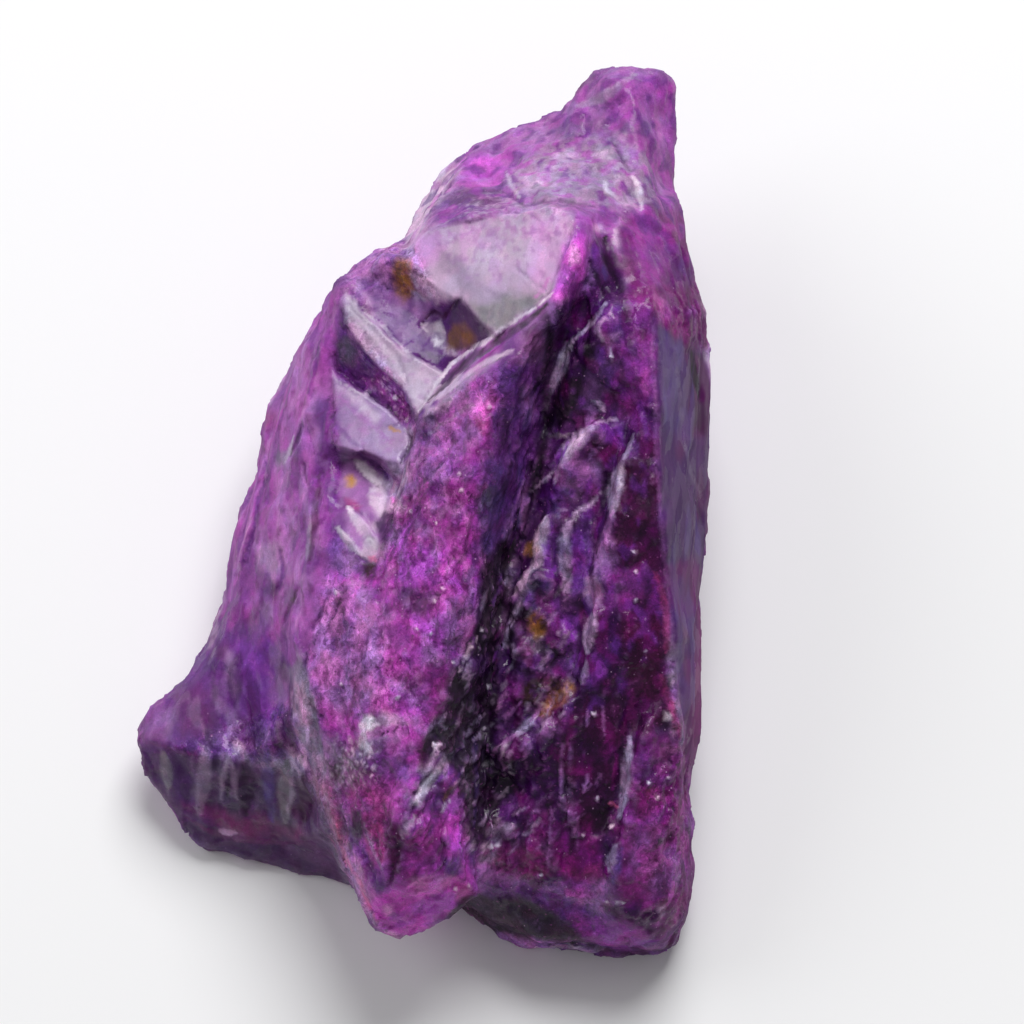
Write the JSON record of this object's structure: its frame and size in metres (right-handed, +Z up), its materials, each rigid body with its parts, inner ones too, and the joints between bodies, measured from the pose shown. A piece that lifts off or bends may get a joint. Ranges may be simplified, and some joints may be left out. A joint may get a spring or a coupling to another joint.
{
  "type": "rough sapphire crystal",
  "caption": "Rough, purple-dyed sapphire crystal: a broken, flat-based stone with a long ridge, a deep groove, a stepped notch and a tapering tip.",
  "frame": {"origin": "centre of the stone's box in plan, on the flat face that it rests on", "axes": "+Z up out of the rest face, +Y along the stone's length towards its tapered tip, +X to the right of the ridged face as seen from above with the tip away from the viewer"},
  "size_m": [0.0355, 0.0547, 0.024],
  "materials": {
    "stone": "satin, mottled purple and magenta with a vitreous shine on fresh breaks"
  },
  "bodies": {
    "root": {"sapphire_crystal": "stone"}
  },
  "joints": []
}
